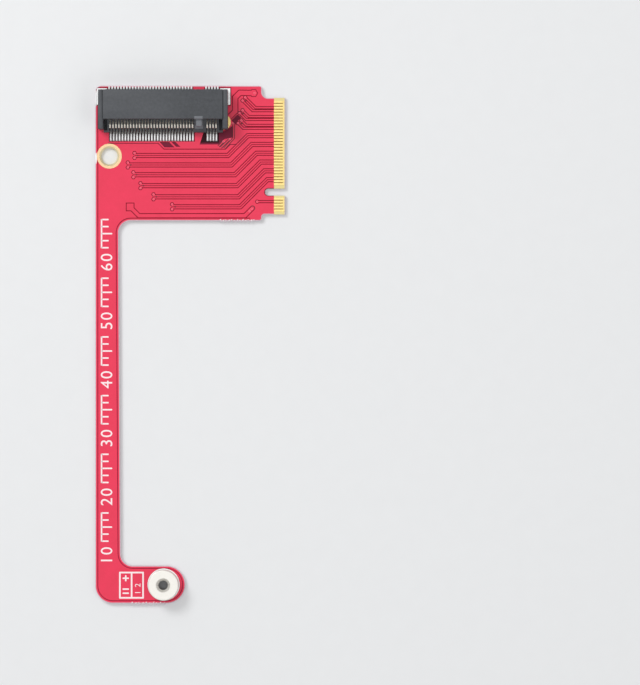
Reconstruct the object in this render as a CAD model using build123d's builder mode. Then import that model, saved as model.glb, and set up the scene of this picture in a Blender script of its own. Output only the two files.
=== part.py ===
"""Right-angle extension adapter for a gumstick solid-state drive, built as its separate pieces.

The origin is the axis of the mounting hole at the underside of the board. +X points to the edge
fingers on the tongue, +Y to the top edge of the head, and +Z out of the front face, which carries
the card socket. The long arm and the foot with the standoff lie towards -Y. All sizes are millimetres.
"""

from build123d import *
import os

os.makedirs("parts", exist_ok=True)

# Thickness of the board, and of the copper with its mask on each face of the laminate
board_thickness = 0.8
layer_thickness = 0.07
plating_wall = 0.05

# Outline of the head, from the axis of the mounting hole
edge_to_hole = 2.4
lower_shoulder = 1.075
head_corner_radius = 1.0
card_reach = 30.0
tongue_length = 4.0
tongue_width = 19.85
tongue_bevel = 0.15
outer_shoulder_share = 0.2
inner_shoulder_share = 0.5
lower_shoulder_radius = 0.45
key_notch_width = 1.2
key_notch_depth = 3.5
cut_overrun = 1.0

# Outline of the arm and the foot
arm_width_at_head = 4.0
arm_width_at_foot = 4.35
arm_fillet = 2.05
foot_height = 6.4
foot_corner_radius = 3.0
foot_end_offset = 0.5

# Stubs that the panel tabs left on the lower edges
stub_height = 0.2
stub_pitch = 0.7
stub_bite_radius = 0.27
stub_bite_sides = 6
head_stub_start = 18.8
head_stub_count = 8
foot_stub_start = 3.5
foot_stub_count = 9

# Mounting hole
mounting_bore = 2.8
mounting_ring = 4.25
mounting_rim = 3.4
mounting_rim_depth = 0.25
mounting_sleeve_wall = 0.2

# Edge contacts, which share the width of the tongue between the clear strips at its two ends
contact_end_margin = 0.675
long_bank_count = 29
key_positions = 4
odd_short_count = 5
even_short_count = 4
finger_width = 0.35
front_finger_length = 1.8
back_finger_length = 2.8

# Socket: its inset from the board's left edge, the stop of its slot, its setback from the top edge,
# and the card that it takes
socket_inset = 0.675
socket_setback = 5.0
slot_stop_y = 7.0
long_card_length = 80.0
card_thickness = 0.8
card_clearance = 0.15
slot_side_clearance = 0.2

# Socket housing, from the slot's stop and the front of the board
housing_height = 4.2
housing_roof = 0.75
housing_back_depth = 4.15
shell_front_depth = 0.9
lip_front_depth = 3.0
lip_front_height = 1.4
lip_slope_depth = 1.2
lip_nose_depth = 0.35
lip_nose_drop = 0.25
lead_in = 0.3
side_wall = 0.85
side_wall_front_depth = 2.5
end_pocket_width = 0.6
end_pocket_margin = 0.3
side_wall_step = 0.2
side_groove = 0.15
housing_edge_chamfer = 0.15
key_block_width = 0.95
key_block_front_depth = 2.05

# Locating pegs under the housing, and their holes
peg_line_y = 5.8
peg_offset = 0.15
large_peg = 1.5
small_peg = 1.0
peg_clearance = 0.05
peg_length = 0.62
peg_chamfer = 0.15
large_peg_ring = 2.73
small_peg_ring = 1.85

# Socket contacts
contact_width = 0.24
contact_thickness = 0.15
contact_slot_width = 0.3
front_tail_reach = 1.35
rear_tail_reach = 0.55
lower_contact_back = 0.8
lower_cavity_back = 1.1
upper_shank_inset = 0.55
upper_cavity_roof = 0.3
upper_cavity_height = 0.85
contact_free_lift = 0.12
point_setback = 0.9

# Solder pads under the tails and under the hold-down tabs
tail_pad_width = 0.3
tail_pad_margin = 0.05
anchor_pad_margin = 0.04
pad_moat = 0.15

# Hold-down tabs at the rear corners of the housing
tab_sheet = 0.15
tab_flange = 0.35
tab_side_length = 2.4
tab_rear_length = 1.3
tab_rear_width = 0.35
tab_plate_height = 1.8
tab_plate_margin = 0.3
tab_clearance = 0.03

# Threaded standoff on the foot
standoff_diameter = 5.15
standoff_shank = 3.1
standoff_thread_bore = 1.6
standoff_lead_in = 2.4
standoff_edge_chamfer = 0.15
standoff_clearance = 0.05
standoff_shank_recess = 0.1
standoff_back_ring = 5.3
standoff_front_ring = 5.5

# Copper layout: the bare laminate edge, the band round each face and its groove
laminate_reveal = 0.1
edge_band_width = 0.28
groove = 0.13
edge_groove_end_x = 24.0
edge_groove_top_y = 10.0

# Copper layout: one differential pair and its vias
track_width = 0.24
pair_gap = 0.1
track_clearance = 0.13
opening_sides = 24
via_radius = 0.25
via_sides = 6
via_spread = 0.42
supply_track_width = 0.6
supply_pad_size = 1.2

# Pairs from the fingers to vias on the left: level of each run, its vias, its bend at the fingers
run_levels = (0.12, -1.5, -3.17, -5.03, -6.93, -8.63)
run_via_xs = (4.29, 3.15, 4.1, 5.31, 7.53, 10.7)
front_run_bends = (23.6, 24.3, 25.07, 25.8, 26.45, 26.95)
first_run_pair = 3
contacts_per_pair = 3
contacts_before_pair = 2.5

# Front pairs that stop at vias beside the socket
short_pair_outer_vias = ((23.16, 10.02), (22.7, 7.82), (22.5, 6.1))
short_pair_inner_vias = ((22.7, 9.48), (22.2, 7.33), (21.94, 5.62))

# Front single via, supply track along the lower edge, and supply island at the upper edge
ground_via_x = 25.2
ground_via_y = -7.75
supply_start_x = 3.55
supply_end_y = -8.65
supply_bend_x = 5.05
supply_turn_x = 23.1
supply_rise = 1.3
front_island_width = 0.8
front_island_end_radius = 0.62
front_island_route = [(20.4, 6.6), (21.45, 7.65), (21.45, 10.0), (22.25, 10.8), (24.6, 10.75)]

# Front groove below the socket, and openings in the copper round the lower corner of the socket
front_split_route = [
    (-0.2, 2.2), (8.3, 2.2), (9.3, 1.2), (19.8, 1.2), (20.6, 2.0), (21.6, 2.0)
]
front_openings = (
    [(8.6, 2.4), (10.2, 2.4), (11.1, 1.5), (9.4, 1.5)],
    [(10.6, 2.4), (11.3, 2.4), (12.1, 1.6), (11.4, 1.6)],
    [(15.4, 2.0), (18.7, 2.0), (19.6, 2.9), (21.05, 3.2), (21.05, 5.2), (19.4, 4.2), (16.1, 4.2)],
    [(20.8, 6.1), (21.82, 7.1), (22.5, 6.6), (21.9, 6.0), (21.6, 5.3)],
)

# Back pairs: a row of vias behind the socket, and the levels of the long runs to it
back_via_row_y = 7.0
back_first_pair_x = 13.1
back_pair_pitch = 1.5
back_pair_count = 9
back_diagonal_share = 0.4
back_top_levels = (11.05, 9.7, 8.35)

# Back tracks from the fingers, back supply track, and strips with no copper
back_pair_routes = [
    [(26.4, 7.0), (24.4, 5.0), (22.2, 5.0)],
    [(26.8, -0.3), (25.0, 1.5), (22.0, 1.5), (20.8, 2.7), (20.2, 2.7)],
    [(22.4, -3.4), (15.6, 3.4), (15.6, 4.6)],
    [(26.0, -7.6), (24.4, -6.0), (23.95, -6.0), (14.6, 3.35), (14.6, 5.3)],
]
back_via_route = [(14.3, 2.9), (25.0, -7.8)]
back_supply_route = [(1.2, 5.3), (2.55, 3.95), (2.55, -7.65), (3.55, -8.65)]
back_island_width = 1.2
back_island_route = [(26.1, 8.9), (24.6, 10.4), (24.6, 10.7)]
back_stub_route = [(24.8, -8.7), (24.3, -9.2)]
back_gap_width = 0.45
back_gap_routes = [[(6.35, 6.2), (6.35, 1.2)], [(21.4, 8.0), (20.4, 9.0), (16.7, 9.0)]]

# Values that follow from the sizes above
front_z = board_thickness
front_laminate_z = board_thickness - layer_thickness
back_laminate_z = layer_thickness
tongue_root = card_reach - tongue_length
head_top = slot_stop_y + socket_setback
upper_shoulder = head_top - tongue_width / 2
outer_shoulder_radius = outer_shoulder_share * upper_shoulder
inner_shoulder_radius = inner_shoulder_share * upper_shoulder
head_bottom = -tongue_width / 2 - lower_shoulder
row_positions = long_bank_count + key_positions + odd_short_count
contact_pitch = (tongue_width - 2 * contact_end_margin) / (row_positions - 1)
first_odd_contact = tongue_width / 2 - contact_end_margin
first_even_contact = first_odd_contact - contact_pitch / 2
pair_pitch = contacts_per_pair * contact_pitch
first_pair_y = first_odd_contact - contacts_before_pair * contact_pitch
key_span = 2 * long_bank_count + key_positions - 1
key_offset = (key_span * contact_pitch - first_odd_contact - first_even_contact) / 2
slot_width = tongue_width + 2 * slot_side_clearance
housing_width = slot_width + 2 * side_wall
socket_x = socket_inset - edge_to_hole + housing_width / 2
standoff_y = slot_stop_y - long_card_length
foot_top = standoff_y + foot_height / 2
foot_bottom = standoff_y - foot_height / 2
foot_end_x = socket_x + foot_end_offset
front_mask_end = card_reach - tongue_bevel - front_finger_length
back_mask_end = card_reach - tongue_bevel - back_finger_length
housing_front_y = slot_stop_y - lip_front_depth
housing_rear_y = slot_stop_y + housing_back_depth
shell_front_y = slot_stop_y - shell_front_depth
slot_roof = housing_height - housing_roof
card_seat_height = slot_roof - card_clearance - card_thickness
slot_floor = card_seat_height - card_clearance
slot_left = socket_x - slot_width / 2
slot_right = socket_x + slot_width / 2
side_wall_height = housing_height - side_wall_step
large_peg_x = socket_x + tongue_width / 2 + peg_offset
small_peg_x = socket_x - tongue_width / 2 - peg_offset
front_tail_end = housing_front_y - front_tail_reach
rear_tail_end = housing_rear_y + rear_tail_reach
shank_y = housing_rear_y - upper_shank_inset


def bank(first, start, count):
    """Offsets from the centreline of some contacts of a row, counted from its first position."""
    return [first - contact_pitch * index for index in range(start, start + count)]


short_bank_start = long_bank_count + key_positions
odd_long = bank(first_odd_contact, 0, long_bank_count)
odd_short = bank(first_odd_contact, short_bank_start, odd_short_count)
even_long = bank(first_even_contact, 0, long_bank_count)
even_short = bank(first_even_contact, short_bank_start, even_short_count)


def shifted(route, distance):
    """A route moved sideways, to its left where the distance is positive, with mitred corners."""
    corners = [Vector(*point) for point in route]
    headings = [(end - start).normalized() for start, end in zip(corners, corners[1:])]
    moved = []
    for index, corner in enumerate(corners):
        before = headings[max(index - 1, 0)]
        after = headings[min(index, len(headings) - 1)]
        across = (before + after).normalized().rotate(Axis.Z, 90)
        reach = distance / across.dot(before.rotate(Axis.Z, 90))
        moved.append(corner + across * reach)
    return moved


def ribbon(route, width, mode=Mode.ADD):
    """A strip of even width along a route of straight runs, added to the sketch in hand."""
    left = shifted(route, width / 2)
    right = shifted(route, -width / 2)
    Polygon(*left, *reversed(right), align=None, mode=mode)


def board_outline():
    """The outline of the board, without the stubs."""
    arm_right_at_head = arm_width_at_head - edge_to_hole
    arm_right_at_foot = arm_width_at_foot - edge_to_hole
    half_tongue = tongue_width / 2
    with BuildSketch() as outline:
        with BuildLine():
            Polyline(
                (-edge_to_hole, head_top),
                (tongue_root, head_top),
                (tongue_root, half_tongue),
                (card_reach, half_tongue),
                (card_reach, -half_tongue),
                (tongue_root, -half_tongue),
                (tongue_root, head_bottom),
                (arm_right_at_head, head_bottom),
                (arm_right_at_foot, foot_top),
                (foot_end_x, foot_top),
            )
            ThreePointArc(
                (foot_end_x, foot_top),
                (foot_end_x + foot_height / 2, standoff_y),
                (foot_end_x, foot_bottom),
            )
            Polyline(
                (foot_end_x, foot_bottom),
                (-edge_to_hole, foot_bottom),
                (-edge_to_hole, head_top),
            )
        make_face()

        def round_corner(x, y, radius):
            corner = outline.vertices().sort_by_distance((x, y))[0]
            fillet(corner, radius)

        round_corner(-edge_to_hole, head_top, head_corner_radius)
        round_corner(tongue_root, head_top, outer_shoulder_radius)
        round_corner(tongue_root, half_tongue, inner_shoulder_radius)
        round_corner(tongue_root, -half_tongue, lower_shoulder_radius)
        round_corner(tongue_root, head_bottom, lower_shoulder_radius)
        round_corner(arm_right_at_head, head_bottom, arm_fillet)
        round_corner(arm_right_at_foot, foot_top, arm_fillet)
        round_corner(-edge_to_hole, foot_bottom, foot_corner_radius)
        notch_root = card_reach - key_notch_depth + key_notch_width / 2
        with BuildLine():
            Polyline(
                (notch_root, -key_offset + key_notch_width / 2),
                (card_reach + cut_overrun, -key_offset + key_notch_width / 2),
                (card_reach + cut_overrun, -key_offset - key_notch_width / 2),
                (notch_root, -key_offset - key_notch_width / 2),
            )
            ThreePointArc(
                (notch_root, -key_offset - key_notch_width / 2),
                (notch_root - key_notch_width / 2, -key_offset),
                (notch_root, -key_offset + key_notch_width / 2),
            )
        make_face(mode=Mode.SUBTRACT)
    return outline.sketch


outline = board_outline()
mask_outline = offset(outline, -laminate_reveal)
band_outline = offset(outline, -laminate_reveal - edge_band_width)
pour_outline = offset(outline, -laminate_reveal - edge_band_width - groove)


def stub_strip(start_x, edge_y, count):
    """What a row of perforations leaves under a lower edge: cusps between round bites."""
    length = count * stub_pitch
    centre_x = start_x + length / 2
    bites = [(start_x + stub_pitch * index, edge_y - stub_height) for index in range(count + 1)]
    with BuildSketch() as strip:
        with Locations((centre_x, edge_y)):
            Rectangle(length, 2 * stub_height)
        with Locations(*bites):
            RegularPolygon(stub_bite_radius, stub_bite_sides, mode=Mode.SUBTRACT)
    return strip.sketch


def turning_plane(x, y):
    """An upright plane through a hole's axis, for the half section of a turned piece."""
    return Plane(origin=(x, y, 0), x_dir=(1, 0, 0), z_dir=(0, -1, 0))


def plated_hole(x, y, bore, front_ring, back_ring, wall=plating_wall, rim=0, rim_depth=0):
    """The plating of one hole: a ring on each face and the sleeve between them, turned as one."""
    inner = bore / 2
    outer = inner + wall
    inner_wall = [(inner, board_thickness)]
    outer_wall = [(outer, front_laminate_z)]
    if rim:
        inner_wall = [(inner, board_thickness - rim_depth), (rim / 2, board_thickness)]
        outer_wall = [
            (rim / 2 + wall, front_laminate_z),
            (outer, board_thickness - rim_depth - wall),
        ]
    with BuildPart() as plating:
        with BuildSketch(turning_plane(x, y)):
            with BuildLine():
                Polyline(
                    (inner, 0),
                    *inner_wall,
                    (front_ring / 2, board_thickness),
                    (front_ring / 2, front_laminate_z),
                    *outer_wall,
                    (outer, back_laminate_z),
                    (back_ring / 2, back_laminate_z),
                    (back_ring / 2, 0),
                    close=True,
                )
            make_face()
        revolve(axis=Axis((x, y, 0), (0, 0, 1)))
    return plating


large_peg_bore = large_peg + 2 * peg_clearance
small_peg_bore = small_peg + 2 * peg_clearance
standoff_bore = standoff_shank + 2 * standoff_clearance


def laminate():
    """The glass laminate with its holes, stubs and the bevel of the tongue."""
    with BuildPart() as board:
        with BuildSketch(Plane.XY.offset(back_laminate_z)):
            add(outline)
            add(stub_strip(head_stub_start, head_bottom, head_stub_count))
            add(stub_strip(foot_stub_start, foot_bottom, foot_stub_count))
            with Locations((large_peg_x, peg_line_y)):
                Circle(large_peg_bore / 2 + plating_wall, mode=Mode.SUBTRACT)
            with Locations((small_peg_x, peg_line_y)):
                Circle(small_peg_bore / 2 + plating_wall, mode=Mode.SUBTRACT)
            with Locations((socket_x, standoff_y)):
                Circle(standoff_bore / 2 + plating_wall, mode=Mode.SUBTRACT)
            Circle(mounting_bore / 2 + mounting_sleeve_wall, mode=Mode.SUBTRACT)
        extrude(amount=front_laminate_z - back_laminate_z)
        rim_start = board_thickness - mounting_rim_depth - mounting_sleeve_wall
        with Locations((0, 0, (rim_start + front_laminate_z) / 2)):
            Cone(
                mounting_bore / 2 + mounting_sleeve_wall,
                mounting_rim / 2 + mounting_sleeve_wall,
                front_laminate_z - rim_start,
                mode=Mode.SUBTRACT,
            )
        tongue_ends = board.faces().filter_by(Axis.X).sort_by(Axis.X)[-2:]
        chamfer(tongue_ends.edges().filter_by(Axis.Y), tongue_bevel)
    return board


def finger_bank(offsets, length, bottom_z):
    """A bank of gold pads at the end of the tongue, with their heads short of its bevel."""
    with BuildPart() as pads:
        middle_x = card_reach - tongue_bevel - length / 2
        with BuildSketch(Plane.XY.offset(bottom_z)):
            with Locations(*[(middle_x, offset) for offset in offsets]):
                Rectangle(length, finger_width)
        extrude(amount=layer_thickness)
    return pads


def tail_pads(offsets, start_y, end_y):
    """The solder pads under one row of tails."""
    with BuildPart() as pads:
        with BuildSketch(Plane.XY.offset(front_laminate_z)):
            with Locations(*[(socket_x - offset, (start_y + end_y) / 2) for offset in offsets]):
                Rectangle(tail_pad_width, abs(end_y - start_y))
        extrude(amount=layer_thickness)
    return pads


def tab_plan(margin, side):
    """Plan of a hold-down flange, beside and behind the corner of the housing; side is +1 or -1."""
    outer = housing_width / 2 + tab_flange + margin
    inner = housing_width / 2 - 2 * tab_sheet - margin
    rear = housing_rear_y + tab_clearance + tab_rear_width + margin
    front = rear - 2 * margin - tab_side_length - tab_rear_width
    rear_front = housing_rear_y + tab_clearance - margin
    rear_inner = outer - 2 * margin - tab_rear_length - tab_flange
    points = [
        (outer, front),
        (outer, rear),
        (rear_inner, rear),
        (rear_inner, rear_front),
        (inner, rear_front),
        (inner, front),
    ]
    with BuildSketch() as plan:
        Polygon(*[(socket_x + side * x, y) for x, y in points], align=None)
    return plan.sketch


def anchor_pad(side):
    """The solder pad under a hold-down tab, cut off short of the board's edges."""
    with BuildPart() as pad:
        with BuildSketch(Plane.XY.offset(front_laminate_z)):
            add(tab_plan(anchor_pad_margin, side))
            add(mask_outline, mode=Mode.INTERSECT)
        extrude(amount=layer_thickness)
    return pad


def hold_down(side):
    """A bent tab: its flange is soldered to the board, and its plate stands in the housing's side."""
    outer = socket_x + side * housing_width / 2
    plate_y = housing_rear_y - tab_plate_margin - tab_side_length / 2
    with BuildPart() as tab:
        with BuildSketch(Plane.XY.offset(front_z)):
            add(tab_plan(0, side))
        extrude(amount=tab_sheet)
        with Locations((outer - side * 1.5 * tab_sheet, plate_y, front_z + tab_plate_height / 2)):
            Box(tab_sheet, tab_side_length - 2 * tab_plate_margin, tab_plate_height)
    return tab


def upper_contact():
    """One contact of the upper row: rear tail, shank up the back wall, beam over the slot."""
    point_y = slot_stop_y - shell_front_depth / 3
    point_height = slot_roof - card_clearance - contact_free_lift + contact_thickness / 2
    beam_height = slot_roof + contact_free_lift + contact_thickness / 2
    route = [
        (rear_tail_end, contact_thickness / 2),
        (shank_y, contact_thickness / 2),
        (shank_y - contact_thickness, beam_height),
        (slot_stop_y, beam_height),
        (point_y, point_height),
    ]
    with BuildPart() as contact:
        with BuildSketch(Plane.YZ.offset(-contact_width / 2)):
            ribbon([(y, front_z + height) for y, height in route], contact_thickness)
        extrude(amount=contact_width)
    return contact.part


def lower_contact():
    """One contact of the lower row: front tail, base under the slot, sprung beam back to the mouth."""
    point_y = shell_front_y - point_setback
    point_height = slot_floor + card_clearance + contact_free_lift - contact_thickness / 2
    back_y = slot_stop_y + lower_contact_back
    route = [
        (front_tail_end, contact_thickness / 2),
        (back_y, contact_thickness / 2),
        (back_y, slot_floor / 2),
        (point_y, point_height),
        (point_y - contact_pitch, point_height - 2 * contact_thickness),
    ]
    with BuildPart() as contact:
        with BuildSketch(Plane.YZ.offset(-contact_width / 2)):
            ribbon([(y, front_z + height) for y, height in route], contact_thickness)
        extrude(amount=contact_width)
    return contact.part


def contact_bank(contact, offsets):
    """A bank of one kind of contact, set at its positions along the socket."""
    with BuildPart() as contacts:
        with Locations(*[(socket_x - offset, 0, 0) for offset in offsets]):
            add(contact)
    return contacts


def upper_cavity_shape():
    """The L-shaped space of one upper contact: along the roof and down the open back."""
    roof = front_z + housing_height - upper_cavity_roof
    floor = roof - upper_cavity_height
    mouth_y = shell_front_y + lead_in / 2
    shank_front_y = shank_y - 3 * contact_thickness
    with BuildPart() as space:
        with BuildSketch(Plane.YZ.offset(-contact_slot_width / 2)):
            with BuildLine():
                Polyline(
                    (mouth_y, floor),
                    (shank_front_y, floor),
                    (shank_front_y, front_z),
                    (housing_rear_y, front_z),
                    (housing_rear_y, roof),
                    (mouth_y, roof),
                    close=True,
                )
            make_face()
        extrude(amount=contact_slot_width)
    return space.part


upper_cavity = upper_cavity_shape()


def housing():
    """The moulded socket: slot, key, combs for the contacts, side walls and two pegs."""
    lip_y = slot_stop_y - lip_slope_depth
    with BuildPart() as body:
        with BuildSketch(Plane.YZ.offset(slot_left)):
            with BuildLine():
                Polyline(
                    (housing_front_y, front_z),
                    (housing_rear_y, front_z),
                    (housing_rear_y, front_z + housing_height),
                    (shell_front_y, front_z + housing_height),
                    (shell_front_y, front_z + slot_roof + lead_in),
                    (shell_front_y + lead_in, front_z + slot_roof),
                    (slot_stop_y, front_z + slot_roof),
                    (slot_stop_y, front_z + slot_floor),
                    (lip_y, front_z + slot_floor),
                    (housing_front_y + lip_nose_depth, front_z + lip_front_height + lip_nose_drop),
                    (housing_front_y, front_z + lip_front_height),
                    close=True,
                )
            make_face()
        extrude(amount=slot_width)
        top_edges = body.edges().filter_by(Axis.X).group_by(Axis.Z)[-1]
        chamfer(top_edges, housing_edge_chamfer)
        wall_front = slot_stop_y - side_wall_front_depth
        wall_centres = [(socket_x + side * (slot_width + side_wall) / 2, 0) for side in (-1, 1)]
        with BuildSketch(Plane.XY.offset(front_z)):
            with Locations((0, (wall_front + housing_rear_y) / 2)):
                with Locations(*wall_centres):
                    Rectangle(side_wall, housing_rear_y - wall_front)
        extrude(amount=side_wall_height)
        with Locations(
            (slot_left - side_groove / 2, (wall_front + housing_rear_y) / 2, front_z + side_wall_height),
            (slot_right + side_groove / 2, (wall_front + housing_rear_y) / 2, front_z + side_wall_height),
        ):
            Box(side_groove, housing_rear_y - wall_front + 1, 2 * side_groove, mode=Mode.SUBTRACT)

        key_depth = key_block_front_depth + contact_thickness
        key_height = slot_roof - lip_front_height + contact_thickness
        with Locations(
            (
                socket_x + key_offset,
                slot_stop_y - key_block_front_depth + key_depth / 2,
                front_z + lip_front_height + key_height / 2,
            )
        ):
            Box(key_block_width, key_depth, key_height)

        pocket_front = housing_front_y + end_pocket_margin
        pocket_back = shell_front_y + end_pocket_margin
        pocket_y = (pocket_front + pocket_back) / 2
        pocket_z = front_z + slot_floor / 2 + end_pocket_margin
        pocket_x = (slot_width - end_pocket_width) / 2
        with Locations(
            (socket_x - pocket_x, pocket_y, pocket_z), (socket_x + pocket_x, pocket_y, pocket_z)
        ):
            Box(end_pocket_width, pocket_back - pocket_front, slot_floor, mode=Mode.SUBTRACT)

        for x, size in ((large_peg_x, large_peg), (small_peg_x, small_peg)):
            with BuildSketch(Plane.XY.offset(front_z)):
                with Locations((x, peg_line_y)):
                    Circle(size / 2)
            extrude(amount=-peg_length)
        peg_tips = body.faces().sort_by(Axis.Z)[:2]
        chamfer(peg_tips.edges(), peg_chamfer)

        cavity_back = slot_stop_y + lower_cavity_back
        cavity_middle = (housing_front_y + cavity_back) / 2
        lower_xs = [socket_x - offset for offset in even_long + even_short]
        with Locations(*[(x, cavity_middle, front_z + slot_floor / 2) for x in lower_xs]):
            Box(contact_slot_width, cavity_back - housing_front_y, slot_floor, mode=Mode.SUBTRACT)
        with Locations(*[(socket_x - offset, 0, 0) for offset in odd_long + odd_short]):
            add(upper_cavity, mode=Mode.SUBTRACT)

        for side in (-1, 1):
            with BuildSketch(Plane.XY.offset(front_z)):
                add(tab_plan(tab_clearance, side))
            extrude(amount=tab_sheet + tab_clearance, mode=Mode.SUBTRACT)
            plate_y = housing_rear_y - tab_plate_margin - tab_side_length / 2
            plate_x = socket_x + side * (housing_width / 2 - 1.5 * tab_sheet)
            with Locations((plate_x, plate_y, front_z + tab_plate_height / 2)):
                Box(
                    tab_sheet + 2 * tab_clearance,
                    tab_side_length - 2 * tab_plate_margin + 2 * tab_clearance,
                    tab_plate_height + 2 * tab_clearance,
                    mode=Mode.SUBTRACT,
                )
    return body


def standoff():
    """The threaded standoff: a turned cap on the foot with a shank in the plated hole."""
    seat = front_z
    top = seat + card_seat_height
    bottom = standoff_shank_recess
    bore = standoff_thread_bore / 2
    mouth = standoff_lead_in / 2
    depth = mouth - bore
    with BuildPart() as nut:
        with BuildSketch(turning_plane(socket_x, standoff_y)):
            with BuildLine():
                Polyline(
                    (bore, bottom + depth),
                    (bore, top - depth),
                    (mouth, top),
                    (standoff_diameter / 2 - standoff_edge_chamfer, top),
                    (standoff_diameter / 2, top - standoff_edge_chamfer),
                    (standoff_diameter / 2, seat),
                    (standoff_shank / 2, seat),
                    (standoff_shank / 2, bottom),
                    (mouth, bottom),
                    close=True,
                )
            make_face()
        revolve(axis=Axis((socket_x, standoff_y, 0), (0, 0, 1)))
    return nut


def ring_clearances(rings):
    """Openings in a circuit layer round the rings on that face, each with many short sides."""
    for x, y, diameter in rings:
        with Locations((x, y)):
            RegularPolygon(diameter / 2, opening_sides, major_radius=False, mode=Mode.SUBTRACT)


def layer_base(mask_end_x, rings):
    """Plan of a circuit layer: the outline less the bare laminate edge, fingers and rings."""
    with BuildSketch() as plan:
        add(mask_outline)
        with Locations((mask_end_x + tongue_length, 0)):
            Rectangle(2 * tongue_length, 2 * tongue_width, mode=Mode.SUBTRACT)
        ring_clearances(rings)
    return plan.sketch


def edge_groove():
    """The groove between the band along the edge and the pour, which stops short of the tongue."""
    width = card_reach - edge_groove_end_x
    height = head_top - head_bottom
    with BuildSketch() as line:
        add(band_outline)
        add(pour_outline, mode=Mode.SUBTRACT)
        with Locations((edge_groove_end_x + width / 2, head_bottom + height / 2)):
            Rectangle(width, height, mode=Mode.SUBTRACT)
        with Locations((0, edge_groove_top_y + height / 2)):
            Rectangle(2 * card_reach, height, mode=Mode.SUBTRACT)
    return line.sketch


pair_width = 2 * track_width + pair_gap
pair_channel = pair_width + 2 * track_clearance


def pair(route, end_vias):
    """Clearance and copper of one differential pair, with a via for each of its tracks."""
    with BuildSketch() as clearance:
        ribbon(route, pair_channel)
        with Locations(*end_vias):
            RegularPolygon(via_radius + track_clearance, via_sides)
    with BuildSketch() as copper:
        ribbon(route, pair_width)
        ribbon(route, pair_gap, mode=Mode.SUBTRACT)
        with Locations(*end_vias):
            RegularPolygon(via_radius, via_sides)
    return clearance.sketch, copper.sketch


def single(route, width, end_radius=via_radius):
    """Clearance and copper of one track with a round pad at its end."""
    with BuildSketch() as clearance:
        ribbon(route, width + 2 * track_clearance)
        with Locations(route[-1]):
            RegularPolygon(end_radius + track_clearance, via_sides)
    with BuildSketch() as copper:
        ribbon(route, width)
        with Locations(route[-1]):
            RegularPolygon(end_radius, via_sides)
    return clearance.sketch, copper.sketch


def supply_track(route):
    """Clearance and copper of a wide track with a square pad at its end."""
    clear_size = supply_pad_size + 2 * track_clearance
    with BuildSketch() as clearance:
        ribbon(route, supply_track_width + 2 * track_clearance)
        with Locations(route[-1]):
            Rectangle(clear_size, clear_size)
    with BuildSketch() as copper:
        ribbon(route, supply_track_width)
        with Locations(route[-1]):
            Rectangle(supply_pad_size, supply_pad_size)
    return clearance.sketch, copper.sketch


def bare_strip(route, width):
    """A strip with no copper."""
    with BuildSketch() as strip:
        ribbon(route, width)
    return strip.sketch


def bare_area(corners):
    """An opening in the copper with straight sides."""
    with BuildSketch() as area:
        Polygon(*corners, align=None)
    return area.sketch


def front_tracks():
    """The tracks of the front, each as its clearance and its copper."""
    tracks = []
    for index, (level, via_x, bend_x) in enumerate(zip(run_levels, run_via_xs, front_run_bends)):
        finger_y = first_pair_y - pair_pitch * (first_run_pair + index)
        route = [
            (front_mask_end, finger_y),
            (bend_x, finger_y),
            (bend_x - (finger_y - level), level),
            (via_x, level),
        ]
        tracks.append(pair(route, [(via_x, level + via_spread), (via_x, level - via_spread)]))
    for index, vias in enumerate(zip(short_pair_outer_vias, short_pair_inner_vias)):
        finger_y = first_pair_y - pair_pitch * index
        for side, (via_x, via_y) in zip((1, -1), vias):
            track_y = finger_y + side * contact_pitch / 2
            route = [(front_mask_end, track_y), (via_x + via_y - track_y, track_y), (via_x, via_y)]
            tracks.append(single(route, track_width))
    tracks.append(single([(front_mask_end, ground_via_y), (ground_via_x, ground_via_y)], track_width))
    supply_run_y = supply_end_y - (supply_bend_x - supply_start_x)
    supply_route = [
        (supply_turn_x + supply_rise, supply_run_y + supply_rise),
        (supply_turn_x, supply_run_y),
        (supply_bend_x, supply_run_y),
        (supply_start_x, supply_end_y),
    ]
    tracks.append(supply_track(supply_route))
    tracks.append(single(front_island_route, front_island_width, front_island_end_radius))
    return tracks


def tail_window(offsets, start_y, end_y):
    """The bare strip around one bank of tail pads."""
    margin = tail_pad_width / 2 + pad_moat
    middle_y = (start_y + end_y) / 2
    route = [(socket_x - max(offsets) - margin, middle_y), (socket_x - min(offsets) + margin, middle_y)]
    return bare_strip(route, abs(end_y - start_y))


def pad_windows():
    """Where copper stops round what is soldered to the front: the banks of tails and the anchor pads."""
    windows = [tab_plan(anchor_pad_margin + pad_moat, side) for side in (-1, 1)]
    for offsets in (even_long, even_short):
        windows.append(tail_window(offsets, front_tail_end - pad_moat, housing_front_y + pad_moat))
    for offsets in (odd_long, odd_short):
        windows.append(tail_window(offsets, housing_rear_y - pad_moat, rear_tail_end + tail_pad_margin))
    return windows


def front_bare_areas():
    """Where the front has no copper: the groove below the socket, and the openings beside it."""
    return [bare_strip(front_split_route, groove)] + [bare_area(corners) for corners in front_openings]


def from_back_fingers(route):
    """A route with a level run put before it, from where the mask of the back ends at the fingers."""
    return [(back_mask_end, route[0][1])] + route


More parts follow.
